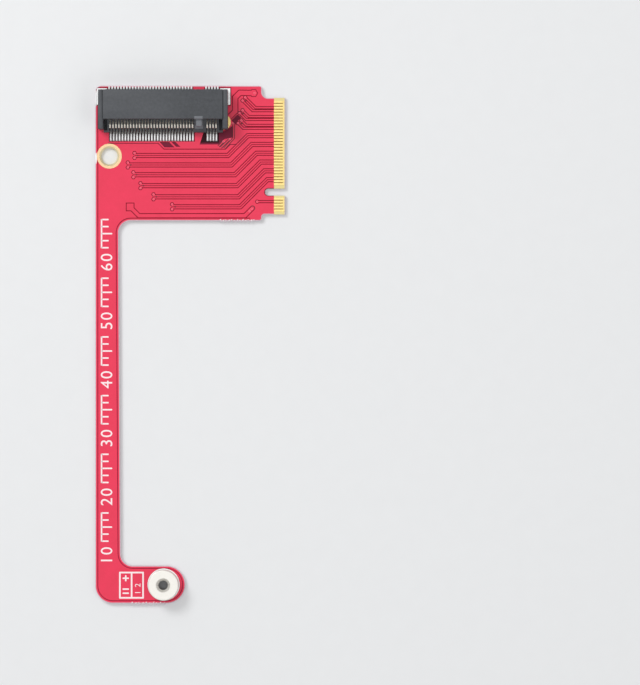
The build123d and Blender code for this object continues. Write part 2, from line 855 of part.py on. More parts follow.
def back_tracks():
    """The tracks of the back, each as its clearance and its copper."""
    tracks = []
    row_y = back_via_row_y
    row_xs = [back_first_pair_x - back_pair_pitch * index for index in range(back_pair_count)]
    runs = list(zip(reversed(run_levels), reversed(run_via_xs)))
    for row_x, (level, via_x) in zip(row_xs, runs):
        diagonal = back_diagonal_share * (row_x - via_x)
        route = [(row_x, row_y), (row_x, level + diagonal), (row_x - diagonal, level), (via_x, level)]
        ends = [(row_x - via_spread, row_y), (row_x + via_spread, row_y)]
        tracks.append(pair(route, ends + [(via_x, level + via_spread), (via_x, level - via_spread)]))
    top_xs = reversed(row_xs[len(runs):])
    tops = zip(top_xs, back_top_levels, short_pair_outer_vias, short_pair_inner_vias)
    for row_x, level, outer, inner in tops:
        via_x = (outer[0] + inner[0]) / 2
        via_y = (outer[1] + inner[1]) / 2
        diagonal = (level - row_y) / 2
        route = [
            (via_x, via_y),
            (via_x - (level - via_y), level),
            (row_x + diagonal, level),
            (row_x, level - diagonal),
            (row_x, row_y),
        ]
        ends = [(row_x - via_spread, row_y), (row_x + via_spread, row_y), outer, inner]
        tracks.append(pair(route, ends))
    for route in back_pair_routes:
        end_x, end_y = route[-1]
        ends = [(end_x, end_y + via_spread), (end_x, end_y - via_spread)]
        tracks.append(pair(from_back_fingers(route), ends))
    island_route = from_back_fingers(back_island_route)
    stub_route = from_back_fingers(back_stub_route)
    tracks.append(single(back_via_route, track_width))
    tracks.append(supply_track(back_supply_route))
    tracks.append(single(island_route, back_island_width, back_island_width / 2))
    tracks.append(single(stub_route, supply_track_width, supply_track_width / 2))
    return tracks


def back_bare_areas():
    """Where the back has no copper."""
    return [bare_strip(route, back_gap_width) for route in back_gap_routes]


def circuit_layer(base, tracks, bare_areas, windows, bottom_z):
    """A circuit layer: the masked pour and tracks, which stand up from the laminate between them."""
    clearances = [clearance for clearance, copper in tracks]
    with BuildPart() as layer:
        with BuildSketch(Plane.XY.offset(bottom_z)):
            add(base)
            add([edge_groove()] + bare_areas + clearances, mode=Mode.SUBTRACT)
            add([copper for clearance, copper in tracks])
            add(base, mode=Mode.INTERSECT)
            if windows:
                add(windows, mode=Mode.SUBTRACT)
        extrude(amount=layer_thickness)
    return layer


# Rings that each circuit layer leaves open
peg_rings = ((large_peg_x, peg_line_y, large_peg_ring), (small_peg_x, peg_line_y, small_peg_ring))
front_rings = ((0, 0, mounting_ring), (socket_x, standoff_y, standoff_front_ring)) + peg_rings
back_rings = ((0, 0, mounting_ring), (socket_x, standoff_y, standoff_back_ring)) + peg_rings

front_base = layer_base(front_mask_end, front_rings)
back_base = layer_base(back_mask_end, back_rings)

odd_contacts = odd_long + odd_short
even_contacts = even_long + even_short
upper = upper_contact()
lower = lower_contact()
pieces = {
    "circuit_board": laminate(),
    "front_circuit_layer": circuit_layer(
        front_base, front_tracks(), front_bare_areas(), pad_windows(), front_laminate_z
    ),
    "back_circuit_layer": circuit_layer(back_base, back_tracks(), back_bare_areas(), [], 0),
    "mounting_hole_plating": plated_hole(
        0,
        0,
        mounting_bore,
        mounting_ring,
        mounting_ring,
        mounting_sleeve_wall,
        mounting_rim,
        mounting_rim_depth,
    ),
    "large_peg_hole_plating": plated_hole(
        large_peg_x, peg_line_y, large_peg_bore, large_peg_ring, large_peg_ring
    ),
    "small_peg_hole_plating": plated_hole(
        small_peg_x, peg_line_y, small_peg_bore, small_peg_ring, small_peg_ring
    ),
    "standoff_hole_plating": plated_hole(
        socket_x, standoff_y, standoff_bore, standoff_front_ring, standoff_back_ring
    ),
    "front_edge_contacts_long": finger_bank(odd_long, front_finger_length, front_laminate_z),
    "front_edge_contacts_short": finger_bank(odd_short, front_finger_length, front_laminate_z),
    "back_edge_contacts_long": finger_bank(even_long, back_finger_length, 0),
    "back_edge_contacts_short": finger_bank(even_short, back_finger_length, 0),
    "rear_tail_pads": tail_pads(odd_contacts, housing_rear_y, rear_tail_end + tail_pad_margin),
    "front_tail_pads": tail_pads(even_contacts, front_tail_end - tail_pad_margin, housing_front_y),
    "left_anchor_pad": anchor_pad(-1),
    "right_anchor_pad": anchor_pad(1),
    "connector_housing": housing(),
    "upper_contacts_long": contact_bank(upper, odd_long),
    "upper_contacts_short": contact_bank(upper, odd_short),
    "lower_contacts_long": contact_bank(lower, even_long),
    "lower_contacts_short": contact_bank(lower, even_short),
    "left_hold_down": hold_down(-1),
    "right_hold_down": hold_down(1),
    "threaded_standoff": standoff(),
}

for name, piece in pieces.items():
    piece.part.label = name
    export_step(piece.part, f"parts/{name}.step")
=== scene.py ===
"""Looks of the gumstick drive adapter: finishes for its CAD pieces, and the pieces modelled here.

Everything is in metres in the frame of the CAD model. The origin is the axis of the mounting hole
at the underside of the board, +X points to the edge fingers, +Y up the head, +Z out of the front.
"""

import math

import bpy
from mathutils import Matrix, Vector


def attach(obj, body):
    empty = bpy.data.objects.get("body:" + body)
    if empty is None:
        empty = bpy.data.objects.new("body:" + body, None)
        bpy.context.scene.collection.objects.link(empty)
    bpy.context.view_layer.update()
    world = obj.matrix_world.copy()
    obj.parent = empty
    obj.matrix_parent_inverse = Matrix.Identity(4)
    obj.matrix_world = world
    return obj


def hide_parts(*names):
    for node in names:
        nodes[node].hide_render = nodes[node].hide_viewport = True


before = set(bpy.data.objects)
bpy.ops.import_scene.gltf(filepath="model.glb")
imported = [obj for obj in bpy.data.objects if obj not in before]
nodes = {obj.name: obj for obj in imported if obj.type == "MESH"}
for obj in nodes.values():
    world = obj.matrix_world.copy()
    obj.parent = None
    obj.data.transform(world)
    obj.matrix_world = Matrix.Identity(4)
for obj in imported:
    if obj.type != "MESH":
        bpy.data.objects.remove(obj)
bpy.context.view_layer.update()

MM = 0.001

# Levels and places of the CAD model that the new pieces sit on, in metres
BOARD_FRONT = 0.8 * MM
BOARD_MIDDLE = 0.4 * MM
SOCKET_X = 9.25 * MM
STANDOFF = Vector((9.25 * MM, -73.0 * MM, 0))

# Camera: the middle of the picture, the height over the board in metres, and the lens
PICTURE_MIDDLE = (35.9 * MM, -31.75 * MM)
CAMERA_HEIGHT = 0.7
CAMERA_LENS = 215.9

# Where the side lights point
LIGHT_TARGET = (0.01, -0.03, 0)


# Camera, light and floor

def look_down():
    """The camera straight above the front, framed as the photograph frames both of its views."""
    camera = bpy.data.cameras.new("camera")
    camera.sensor_width = 36
    camera.lens = CAMERA_LENS
    camera.clip_end = 10
    holder = bpy.data.objects.new("camera", camera)
    holder.location = (*PICTURE_MIDDLE, BOARD_FRONT + CAMERA_HEIGHT)
    bpy.context.scene.collection.objects.link(holder)
    bpy.context.scene.camera = holder


def soft_light(name, place, target, size, power):
    """A square soft box that faces a point."""
    lamp = bpy.data.lights.new(name, "AREA")
    lamp.shape = "SQUARE"
    lamp.size = size
    lamp.energy = power
    holder = bpy.data.objects.new(name, lamp)
    holder.location = place
    holder.rotation_euler = (Vector(target) - Vector(place)).to_track_quat("-Z", "Y").to_euler()
    bpy.context.scene.collection.objects.link(holder)


def even_sky(strength):
    """A plain white surround."""
    world = bpy.data.worlds.new("surround")
    world.use_nodes = True
    background = world.node_tree.nodes["Background"]
    background.inputs["Color"].default_value = (1, 1, 1, 1)
    background.inputs["Strength"].default_value = strength
    bpy.context.scene.world = world


look_down()
even_sky(0.55)
soft_light("key_light", (-0.3, 0.3, 0.5), LIGHT_TARGET, size=0.25, power=1.9)
soft_light("fill_light", (0.4, -0.25, 0.45), LIGHT_TARGET, size=0.4, power=0.35)
soft_light("overhead_light", (0.02, -0.03, 1.0), (0.02, -0.03, 0), size=0.5, power=1.25)
bpy.context.scene.view_settings.view_transform = "Standard"


# Materials

# The board's outline in the CAD model, in millimetres. The arm's right edge leans out down the arm.
BOARD_LEFT = -2.4
HEAD_TOP = 12
HEAD_RIGHT = 26
HEAD_BOTTOM = -11
TONGUE_HALF = 9.925
TONGUE_TIP = 30
ARM_RIGHT = 1.6
ARM_LEAN = -0.006
FOOT_TOP = -69.8
FOOT_BOTTOM = -76.2
FOOT_END = (9.75, -73)
FOOT_END_RADIUS = 3.2

# Its rounded corners: the arc's centre and radius, and the way to the tip of the square corner
INNER_CORNERS = (
    (27.04, 10.96, 1.04, -1, -1),
    (26.45, -10.375, 0.45, -1, 1),
    (3.65, -13.05, 2.05, -1, 1),
    (4.0, -67.75, 2.05, -1, -1),
)
OUTER_CORNERS = (
    (-1.4, 11.0, 1.0, -1, 1),
    (25.585, 11.585, 0.415, 1, 1),
    (25.55, -10.55, 0.45, 1, -1),
    (0.6, -73.2, 3.0, -1, -1),
)
CORNER_MARGIN = 0.3

# Where mask ends before the fingers, and the radii of the mounting hole's ring and mouth
FRONT_MASK_END = 28.05
BACK_MASK_END = 27.05
MOUNTING_RING = 2.3
MOUNTING_MOUTH = 1.72

# Areas that show laminate, the areas under the tails that are painted in shade, and the key block of the
# socket: left, right, low and high
FRONT_TAIL_SHADE_AREA = (-0.2, 18.7, 2.3, 4.1)
REAR_TAIL_SHADE_AREA = (-0.2, 18.7, 11.2, 12)
BARE_OPENINGS = (-0.5, 23.5, 1.5, 8.2)
# The key block is painted lighter: a painted highlight where the light catches its top
KEY_BLOCK_HIGHLIGHT = (14.6, 16.0, 4.6, 6.6)

# Between the fingers: the outer ends of the banks, the gap at the key notch, and the fingers' tips
BANK_END = 9.4
KEY_GAP = (-7.1, -4.9)
FINGER_TIP = 29.55

# The arm's grooves lie below this level of the plan
ARM_TOP = -12

# Colours of the resin in grooves of the head, in grooves of the arm and in openings, and the painted
# shade under the tails
DARK_RESIN = (0.20, 0.0, 0.014)
ARM_RESIN = (0.30, 0.004, 0.035)
BARE_RESIN = (0.180, 0.014, 0.038)
TAIL_SHADE = (0.03, 0.004, 0.008)

# A point belongs to a face of the board from this distance off the board's middle
FACE_LEVEL = 0.32 * MM

# The level below which the contacts' legs are painted in shade, under their bright springs, and over
# what height the painted shade fades in
LEG_SHADE_LEVEL = 1.7 * MM
LEG_SHADE_BLEND = 0.4 * MM

# The standoff's bore darkens from a level down over a depth, inside a radius in millimetres
BORE_SHADE_TOP = 2.9 * MM
BORE_SHADE_DEPTH = 1.4 * MM
BORE_SHADE_RADIUS = 1.18


class Wire:
    """The output socket of a node, with sums on it written as Python."""

    def __init__(self, finish, socket):
        self.finish = finish
        self.socket = socket

    def sum_of(self, operation, *terms):
        """One Math node on its terms."""
        return self.finish.node("ShaderNodeMath", {"operation": operation}, dict(enumerate(terms)))

    def or_else(self, other):
        """The larger of two values, which is one where either mask is."""
        return self.sum_of("MAXIMUM", self, other)

    def at_most(self, other):
        """The smaller of two values."""
        return self.sum_of("MINIMUM", self, other)

    def __add__(self, other):
        return self.sum_of("ADD", self, other)

    def __radd__(self, other):
        return self.sum_of("ADD", other, self)

    def __sub__(self, other):
        return self.sum_of("SUBTRACT", self, other)

    def __rsub__(self, other):
        return self.sum_of("SUBTRACT", other, self)

    def __mul__(self, other):
        return self.sum_of("MULTIPLY", self, other)

    def __rmul__(self, other):
        return self.sum_of("MULTIPLY", other, self)

    def __gt__(self, other):
        return self.sum_of("GREATER_THAN", self, other)

    def __lt__(self, other):
        return self.sum_of("LESS_THAN", self, other)

    def __abs__(self):
        return self.sum_of("ABSOLUTE", self)


class Finish:
    """A material, with a method that adds any node and one that feeds its shader."""

    def __init__(self, name):
        self.material = bpy.data.materials.new(name)
        self.material.use_nodes = True
        self.tree = self.material.node_tree
        self.shader = self.tree.nodes["Principled BSDF"]
        self.coordinates = ()

    def node(self, kind, settings=None, inputs=None, output=0):
        """A node with its settings made first, then its sockets set or linked. Gives one output."""
        added = self.tree.nodes.new(kind)
        for name, value in (settings or {}).items():
            setattr(added, name, value)
        for name, value in (inputs or {}).items():
            self.feed(added.inputs[name], value)
        return Wire(self, added.outputs[output])

    def feed(self, socket, value):
        """Links a wire to a socket, or sets the socket to a plain value."""
        if isinstance(value, Wire):
            self.tree.links.new(value.socket, socket)
        elif isinstance(value, tuple) and len(value) == 3 and socket.type == "RGBA":
            socket.default_value = (*value, 1)
        else:
            socket.default_value = value

    def shade(self, **values):
        """Sets the shader's sockets: base_color feeds Base Color, and so on."""
        for name, value in values.items():
            title = name.replace("_", " ").title().replace("Ior", "IOR")
            self.feed(self.shader.inputs[title], value)
        return self

    def here(self):
        """The point being shaded, in the frame of the CAD."""
        return self.node("ShaderNodeTexCoord", output="Object")

    def axes(self):
        """The three coordinates of the point as numbers, in metres."""
        if not self.coordinates:
            split = self.node("ShaderNodeSeparateXYZ", {}, {"Vector": self.here()})
            self.coordinates = tuple(Wire(self, output) for output in split.socket.node.outputs)
        return self.coordinates

    def grain(self, size_mm, detail=2.0, rough=0.5, stretch=(1, 1, 1)):
        """Soft noise from 0 to 1 whose blotches are about this many millimetres wide."""
        scale = tuple(value / (size_mm * MM) for value in stretch)
        moved = self.node("ShaderNodeMapping", {}, {"Vector": self.here(), "Scale": scale})
        noise = {"Vector": moved, "Scale": 1.0, "Detail": detail, "Roughness": rough}
        return self.node("ShaderNodeTexNoise", {}, noise)

    def within(self, left, right, low, high):
        """One inside a rectangle of the plan, given in millimetres, and none outside."""
        x, y = self.axes()[:2]
        return (x > left * MM) * (x < right * MM) * (y > low * MM) * (y < high * MM)

    def outside_round(self, centre_x, centre_y, radius):
        """One outside a circle of the plan and none inside."""
        x, y = self.axes()[:2]
        across = x - centre_x * MM
        along = y - centre_y * MM
        return (across * across + along * along) > (radius * MM) ** 2

    def corner(self, centre_x, centre_y, radius, way_x, way_y, inset):
        """One in the tip of a square corner, beyond the arc that rounds it."""
        reach = radius + CORNER_MARGIN
        across = sorted((centre_x, centre_x + way_x * reach))
        along = sorted((centre_y, centre_y + way_y * reach))
        return self.within(*across, *along) * self.outside_round(centre_x, centre_y, radius + inset)

    def inside_outline(self, inset):
        """One where the board's face lies further from its edge than an inset in millimetres."""
        x, y = self.axes()[:2]
        left = BOARD_LEFT + inset
        lap = 1
        head = self.within(left, HEAD_RIGHT - inset, HEAD_BOTTOM + inset, HEAD_TOP - inset)
        half = TONGUE_HALF - inset
        tongue = self.within(HEAD_RIGHT - lap, TONGUE_TIP + lap, -half, half)
        arm_edge = (y - HEAD_BOTTOM * MM) * ARM_LEAN + (ARM_RIGHT - inset) * MM
        arm = self.within(left, HEAD_RIGHT, FOOT_END[1], HEAD_BOTTOM + lap) * (x < arm_edge)
        foot = self.within(left, FOOT_END[0], FOOT_BOTTOM + inset, FOOT_TOP - inset)
        foot_end = 1 - self.outside_round(*FOOT_END, FOOT_END_RADIUS - inset)
        whole = head.or_else(tongue).or_else(arm).or_else(foot).or_else(foot_end)
        for inner in INNER_CORNERS:
            whole = whole.or_else(self.corner(*inner, inset))
        for outer in OUTER_CORNERS:
            whole = whole * (1 - self.corner(*outer, -inset))
        return whole

    def mix(self, share, first, second):
        """A colour between two others. A Mix node's sockets for colours are A 6, B 7 and Result 2."""
        return self.node("ShaderNodeMix", {"data_type": "RGBA"}, {0: share, 6: first, 7: second}, 2)

    def bumps(self, height, depth_mm, strength=1.0):
        """Small relief whose height runs from 0 to 1 over this many millimetres."""
        relief = {"Height": height, "Distance": depth_mm * MM, "Strength": strength}
        return self.node("ShaderNodeBump", {}, relief, "Normal")

    def waves(self, vector, settings, inputs):
        """Regular waves from 0 to 1."""
        return self.node("ShaderNodeTexWave", settings, {"Vector": vector, **inputs}, "Fac")


def mask_finish():
    """Red solder mask over copper."""
    finish = Finish("red_solder_mask")
    cloud = finish.grain(2.6, 3, 0.6)
    speck = finish.grain(0.14, 2, 0.6)
    pour = finish.mix(cloud, (0.72, 0.019, 0.064), (0.88, 0.031, 0.096))
    pour = finish.mix(speck * 0.3, pour, (0.94, 0.080, 0.145))
    pour = finish.mix(finish.inside_outline(0.15), (0.66, 0.33, 0.42), pour)
    weave = finish.waves(
        finish.here(),
        {"wave_type": "BANDS", "bands_direction": "DIAGONAL"},
        {"Scale": 900.0, "Distortion": 1.5, "Detail": 1.0},
    )
    return finish.shade(
        base_color=pour,
        roughness=0.34 + cloud * 0.12,
        specular_ior_level=0.3,
        normal=finish.bumps(weave * 0.35 + speck * 0.65, 0.006, 0.5),
    ).material


def laminate_finish():
    """Glass laminate: pale cut edges brightened by a painted highlight, dark red where mask lies on it
    with painted shade under the tails, tan between the fingers.
    """
    finish = Finish("glass_laminate")
    x, y, z = finish.axes()

    layers = finish.waves(
        finish.here(),
        {"wave_type": "BANDS", "bands_direction": "Z"},
        {"Scale": 1600.0, "Distortion": 2.0, "Detail": 2.0, "Detail Scale": 3.0},
    )
    fuzz = finish.grain(0.1, 3, 0.7)
    # The cut edge is the laminate's own pale colour, brightened by a painted highlight where the edge
    # catches the light
    cut_edge_and_highlight = finish.mix(layers, (0.52, 0.38, 0.44), (0.72, 0.60, 0.66))
    cut_edge_and_highlight = finish.mix(fuzz * 0.5, cut_edge_and_highlight, (0.86, 0.80, 0.83))

    front = z > BOARD_MIDDLE
    mask_end = BACK_MASK_END * MM + front * ((FRONT_MASK_END - BACK_MASK_END) * MM)
    masked = finish.inside_outline(0.1)
    tail_shade_areas = finish.within(*FRONT_TAIL_SHADE_AREA).or_else(finish.within(*REAR_TAIL_SHADE_AREA))
    resin_and_tail_shade = finish.mix(y < ARM_TOP * MM, DARK_RESIN, ARM_RESIN)
    resin_and_tail_shade = finish.mix(finish.within(*BARE_OPENINGS), resin_and_tail_shade, BARE_RESIN)
    # Painted shade: the laminate under the tails is near black
    resin_and_tail_shade = finish.mix(tail_shade_areas * front, resin_and_tail_shade, TAIL_SHADE)

    face = abs(z - BOARD_MIDDLE) > FACE_LEVEL
    key_gap = (y > KEY_GAP[0] * MM) * (y < KEY_GAP[1] * MM)
    beside_banks = (abs(y) > BANK_END * MM).or_else(key_gap)
    bright = beside_banks.or_else(x > FINGER_TIP * MM)
    between = finish.mix(bright, (0.28, 0.16, 0.033), (0.80, 0.68, 0.30))
    covered = finish.mix(x > mask_end, cut_edge_and_highlight, between)
    surface = finish.mix(masked * (x < mask_end), covered, resin_and_tail_shade)
    return finish.shade(
        base_color=finish.mix(face, cut_edge_and_highlight, surface),
        roughness=0.5 + fuzz * 0.2,
        specular_ior_level=0.15,
        normal=finish.bumps(fuzz, 0.02, 0.4),
    ).material


def highlighted_rim_finish():
    """Mask that stands up round a via, painted paler than the pour as a painted highlight where it
    catches the light.
    """
    finish = Finish("raised_mask_highlight")
    cloud = finish.grain(0.12, 2, 0.5)
    return finish.shade(
        base_color=finish.mix(cloud, (0.88, 0.13, 0.21), (0.98, 0.24, 0.33)),
        roughness=0.3 + cloud * 0.1,
    ).material


def dark_line_and_dimple_shade_finish():
    """Dark red under the mask: the lines cleared from the copper, and painted shade in the dimples
    beside the vias.
    """
    finish = Finish("dark_lines_and_dimple_shade")
    cloud = finish.grain(0.1, 2, 0.6)
    return finish.shade(
        base_color=finish.mix(cloud, (0.06, 0.0, 0.008), DARK_RESIN),
        roughness=0.45 + cloud * 0.1,
    ).material


def gold_finish():
    """Gold over copper with faint wiping marks: bright on the fingers, paler on the mounting ring."""
    finish = Finish("gold_plate")
    cloud = finish.grain(0.9, 3, 0.6)
    wiped = finish.grain(0.08, 2, 0.6, (0.08, 1, 1))
    tone = finish.mix(cloud, (0.64, 0.465, 0.150), (0.80, 0.64, 0.285))
    ring = 1 - finish.outside_round(0, 0, MOUNTING_RING)
    tone = finish.mix(ring, tone, (0.66, 0.465, 0.27))
    mouth = 1 - finish.outside_round(0, 0, MOUNTING_MOUTH)
    tone = finish.mix(mouth, tone, (0.82, 0.71, 0.45))
    return finish.shade(
        base_color=tone,
        metallic=1 - mouth * 0.6,
        roughness=0.26 + wiped * 0.2,
        normal=finish.bumps(wiped, 0.004, 0.35),
    ).material


def tin_finish():
    """Solder: pale and satin, with slow waves where it set."""
    finish = Finish("solder")
    waves = finish.grain(0.35, 3, 0.55)
    tone = finish.mix(waves, (0.86, 0.86, 0.87), (0.98, 0.98, 0.98))
    return finish.shade(
        base_color=tone,
        metallic=0.2,
        roughness=0.28 + waves * 0.25,
        normal=finish.bumps(waves, 0.02, 0.4),
    ).material


def plastic_finish():
    """Black moulded plastic filled with glass: charcoal, satin, with a fine mottled skin, and a painted
    highlight on the key block.
    """
    finish = Finish("housing_plastic")
    flow = finish.grain(5.0, 3, 0.6, (0.5, 1, 1))
    mottle = finish.grain(0.5, 4, 0.65)
    skin = finish.grain(0.06, 2, 0.6)
    cloudy = (flow * 0.45 + mottle * 0.55 - 0.5) * 2.4 + 0.5
    tone = finish.mix(cloudy, (0.022, 0.026, 0.032), (0.074, 0.080, 0.091))
    # Painted highlight: the key block is lighter where the light catches it
    tone = finish.mix(finish.within(*KEY_BLOCK_HIGHLIGHT), tone, (0.16, 0.17, 0.19))
    return finish.shade(
        base_color=finish.mix(skin * 0.2, tone, (0.15, 0.155, 0.165)),
        roughness=0.42 + mottle * 0.22,
        normal=finish.bumps(skin * 0.7 + mottle * 0.3, 0.010, 0.6),
    ).material


def contact_finish():
    """Copper alloy rolled along the strip: a pale flash of gold on the springs, and painted shade on the
    legs below them.
    """
    finish = Finish("contact_alloy")
    rolled = finish.grain(0.05, 2, 0.6, (1, 0.1, 1))
    level = finish.axes()[2]
    spring = finish.mix(rolled, (0.86, 0.82, 0.70), (0.97, 0.95, 0.88))
    shaded_leg = finish.mix(rolled, (0.20, 0.195, 0.18), (0.34, 0.33, 0.31))
    # Painted shade: the legs down in the housing are dark, the springs above them bright
    tone = finish.mix((level - LEG_SHADE_LEVEL) * (1 / LEG_SHADE_BLEND), shaded_leg, spring)
    return finish.shade(
        base_color=tone,
        metallic=0.8,
        roughness=0.26 + rolled * 0.18,
        normal=finish.bumps(rolled, 0.003, 0.3),
    ).material


def tab_finish():
    """Tinned sheet steel."""
    finish = Finish("tinned_steel")
    cloud = finish.grain(0.3, 3, 0.6)
    tone = finish.mix(cloud, (0.70, 0.70, 0.71), (0.86, 0.86, 0.86))
    return finish.shade(
        base_color=tone,
        metallic=1.0,
        roughness=0.3 + cloud * 0.2,
        normal=finish.bumps(cloud, 0.008, 0.4),
    ).material


def turned_finish():
    """Bright nickel on a turned part, with the tool's rings round its axis."""
    finish = Finish("turned_nickel")
    to_axis = tuple(-value for value in STANDOFF)
    centred = finish.node("ShaderNodeMapping", {}, {"Vector": finish.here(), "Location": to_axis})
    rings = finish.waves(
        centred,
        {"wave_type": "RINGS", "rings_direction": "Z"},
        {"Scale": 1900.0, "Distortion": 0.4, "Detail": 1.0},
    )
    cloud = finish.grain(0.7, 2, 0.5)
    tone = finish.mix(cloud, (0.71, 0.695, 0.65), (0.81, 0.79, 0.74))
    z = finish.axes()[2]
    bore = 1 - finish.outside_round(STANDOFF.x / MM, STANDOFF.y / MM, BORE_SHADE_RADIUS)
    depth = (BORE_SHADE_TOP - z) * (1 / BORE_SHADE_DEPTH)
    tone = finish.mix(bore * depth.at_most(1), tone, (0.14, 0.135, 0.12))
    return finish.shade(
        base_color=tone,
        metallic=0.85,
        roughness=0.36 + cloud * 0.12,
        normal=finish.bumps(rings, 0.004, 0.3),
    ).material


def floor_finish():
    """A plain pale sheet."""
    finish = Finish("pale_floor")
    speckle = finish.grain(3.0, 2, 0.5)
    return finish.shade(
        base_color=finish.mix(speckle, (0.80, 0.81, 0.82), (0.82, 0.83, 0.84)),
        roughness=0.85,
    ).material


def fibre_finish():
    """Torn glass fibre, near white."""
    finish = Finish("torn_fibre")
    strands = finish.grain(0.08, 2, 0.6, (1, 0.3, 1))
    return finish.shade(
        base_color=finish.mix(strands, (0.80, 0.74, 0.74), (0.97, 0.95, 0.95)),
        roughness=0.6,
        normal=finish.bumps(strands, 0.02, 0.5),
    ).material


def ink_finish():
    """White print on the mask, a little uneven."""
    finish = Finish("white_print")
    cloud = finish.grain(0.15, 3, 0.7)
    return finish.shade(
        base_color=finish.mix(cloud, (0.94, 0.76, 0.78), (0.99, 0.88, 0.89)),
        roughness=0.55,
        normal=finish.bumps(cloud, 0.004, 0.4),
    ).material


MASK = mask_finish()
RIM_HIGHLIGHT = highlighted_rim_finish()
DARK_LINE_AND_DIMPLE_SHADE = dark_line_and_dimple_shade_finish()
LAMINATE = laminate_finish()
GOLD = gold_finish()
TIN = tin_finish()
PLASTIC = plastic_finish()
CONTACT = contact_finish()
TAB = tab_finish()
TURNED = turned_finish()
FIBRE = fibre_finish()
INK = ink_finish()

NODE_FINISHES = {
    "circuit_board": LAMINATE,
    "front_circuit_layer": MASK,
    "back_circuit_layer": MASK,
    "mounting_hole_plating": GOLD,
    "large_peg_hole_plating": GOLD,
    "small_peg_hole_plating": GOLD,
    "standoff_hole_plating": TIN,
    "front_edge_contacts_long": GOLD,
    "front_edge_contacts_short": GOLD,
    "back_edge_contacts_long": GOLD,
    "back_edge_contacts_short": GOLD,
    "rear_tail_pads": TIN,
    "front_tail_pads": TIN,
    "left_anchor_pad": TIN,
    "right_anchor_pad": TIN,
    "connector_housing": PLASTIC,
    "upper_contacts_long": CONTACT,
    "upper_contacts_short": CONTACT,
    "lower_contacts_long": CONTACT,
    "lower_contacts_short": CONTACT,
    "left_hold_down": TAB,
    "right_hold_down": TAB,
    "threaded_standoff": TURNED,
}
for node_name, material in NODE_FINISHES.items():
    mesh = nodes[node_name].data
    mesh.materials.clear()
    mesh.materials.append(material)


# Modelling helpers

def clear_selection():
    """Nothing selected, in object mode."""
    if bpy.context.mode != "OBJECT":
        bpy.ops.object.mode_set(mode="OBJECT")
    bpy.ops.object.select_all(action="DESELECT")


def take(piece):
    """Makes one piece the only one selected, and active."""
    clear_selection()
    piece.select_set(True)
    bpy.context.view_layer.objects.active = piece


def apply_place():
    """Applies the place, turn and size of the active piece."""
    bpy.ops.object.transform_apply(location=True, rotation=True, scale=True)


def joined(parts):
    """Several pieces joined as one."""
    take(parts[0])
    for part in parts:
        part.select_set(True)
    bpy.ops.object.join()
    return bpy.context.object


def apply_all(piece):
    """Applies the place, turn and size of a piece, and its modifiers."""
    take(piece)
    apply_place()
    for modifier in list(piece.modifiers):
        bpy.ops.object.modifier_apply(modifier=modifier.name)


def finished(piece, name, material, slot, *stands_for):
    """Names a piece, gives it its material and hangs it on the body of the CAD."""
    apply_all(piece)
    piece.name = name
    piece.data.name = name
    piece.data.materials.clear()
    piece.data.materials.append(material)
    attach(piece, "root")
    if stands_for:
        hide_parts(*stands_for)
    return piece


def merged_copy(node_name):
    """A copy of a CAD node with its loose triangles joined and its flat faces made whole."""
    source = nodes[node_name]
    piece = bpy.data.objects.new(node_name, source.data.copy())
    bpy.context.scene.collection.objects.link(piece)
    take(piece)
    bpy.ops.object.mode_set(mode="EDIT")
    bpy.ops.mesh.select_all(action="SELECT")
    bpy.ops.mesh.remove_doubles(threshold=0.0005 * MM)
    bpy.ops.mesh.dissolve_limited(angle_limit=math.radians(1.0))
    bpy.ops.object.mode_set(mode="OBJECT")
    return piece


def eased(piece, width_mm, segments=2, angle=35):
    """Rounds the sharp edges of a piece by a small bevel."""
    bevel = piece.modifiers.new("eased", "BEVEL")
    bevel.width = width_mm * MM
    bevel.segments = segments
    bevel.limit_method = "ANGLE"
    bevel.angle_limit = math.radians(angle)


# Small round pieces are shaded smooth up to this angle
ROUND_PIECES = 60


def softened(piece, angle=40):
    """Shades a piece smooth up to an angle."""
    take(piece)
    bpy.ops.object.shade_smooth_by_angle(angle=math.radians(angle))


# Floor

def pale_floor():
    """A sheet just under the board, far wider than the picture."""
    bpy.ops.mesh.primitive_plane_add(size=1.6, location=(0.035, -0.03, -0.05 * MM))
    floor = bpy.context.object
    floor.name = "floor"
    floor.data.materials.append(floor_finish())


pale_floor()


# Socket: the moulded housing and its contacts with their edges eased

CONTACT_BANKS = (
    "upper_contacts_long",
    "upper_contacts_short",
    "lower_contacts_long",
    "lower_contacts_short",
)


def socket_pieces():
    """The housing and the contact banks, rounded as moulding and stamping leave them."""
    housing = merged_copy("connector_housing")
    eased(housing, 0.04)
    finished(housing, "moulded_housing", PLASTIC, "housing_plastic", "connector_housing")
    softened(housing)
    for bank in CONTACT_BANKS:
        contacts = merged_copy(bank)
        eased(contacts, 0.03, 2, 20)
        finished(contacts, "stamped_" + bank, CONTACT, "contact_alloy", bank)
        softened(contacts, 50)


socket_pieces()


# Solder on the tails. The contacts of a row stand a pitch apart and skip the key.

CONTACT_PITCH = 0.5
ODD_STEPS = (*range(29), *range(33, 38))
EVEN_STEPS = (*range(29), *range(33, 37))
FIRST_ODD_OFFSET = 9.25
FIRST_EVEN_OFFSET = 9.0
REAR_TAIL_Y = 11.61 * MM
FRONT_TAIL_Y = 3.27 * MM

# Width, length and height of a mound
REAR_SOLDER = (0.36 * MM, 0.56 * MM, 0.26 * MM)
FRONT_SOLDER = (0.33 * MM, 1.3 * MM, 0.26 * MM)

# How far the top of a mound draws in across and along it, and the rounding as a share of its size
SOLDER_TAPER = (0.72, 0.86, 1)
SOLDER_ROUNDING = 0.3

# A face counts as looking up or down from this share of its normal
FACES_UP = 0.9


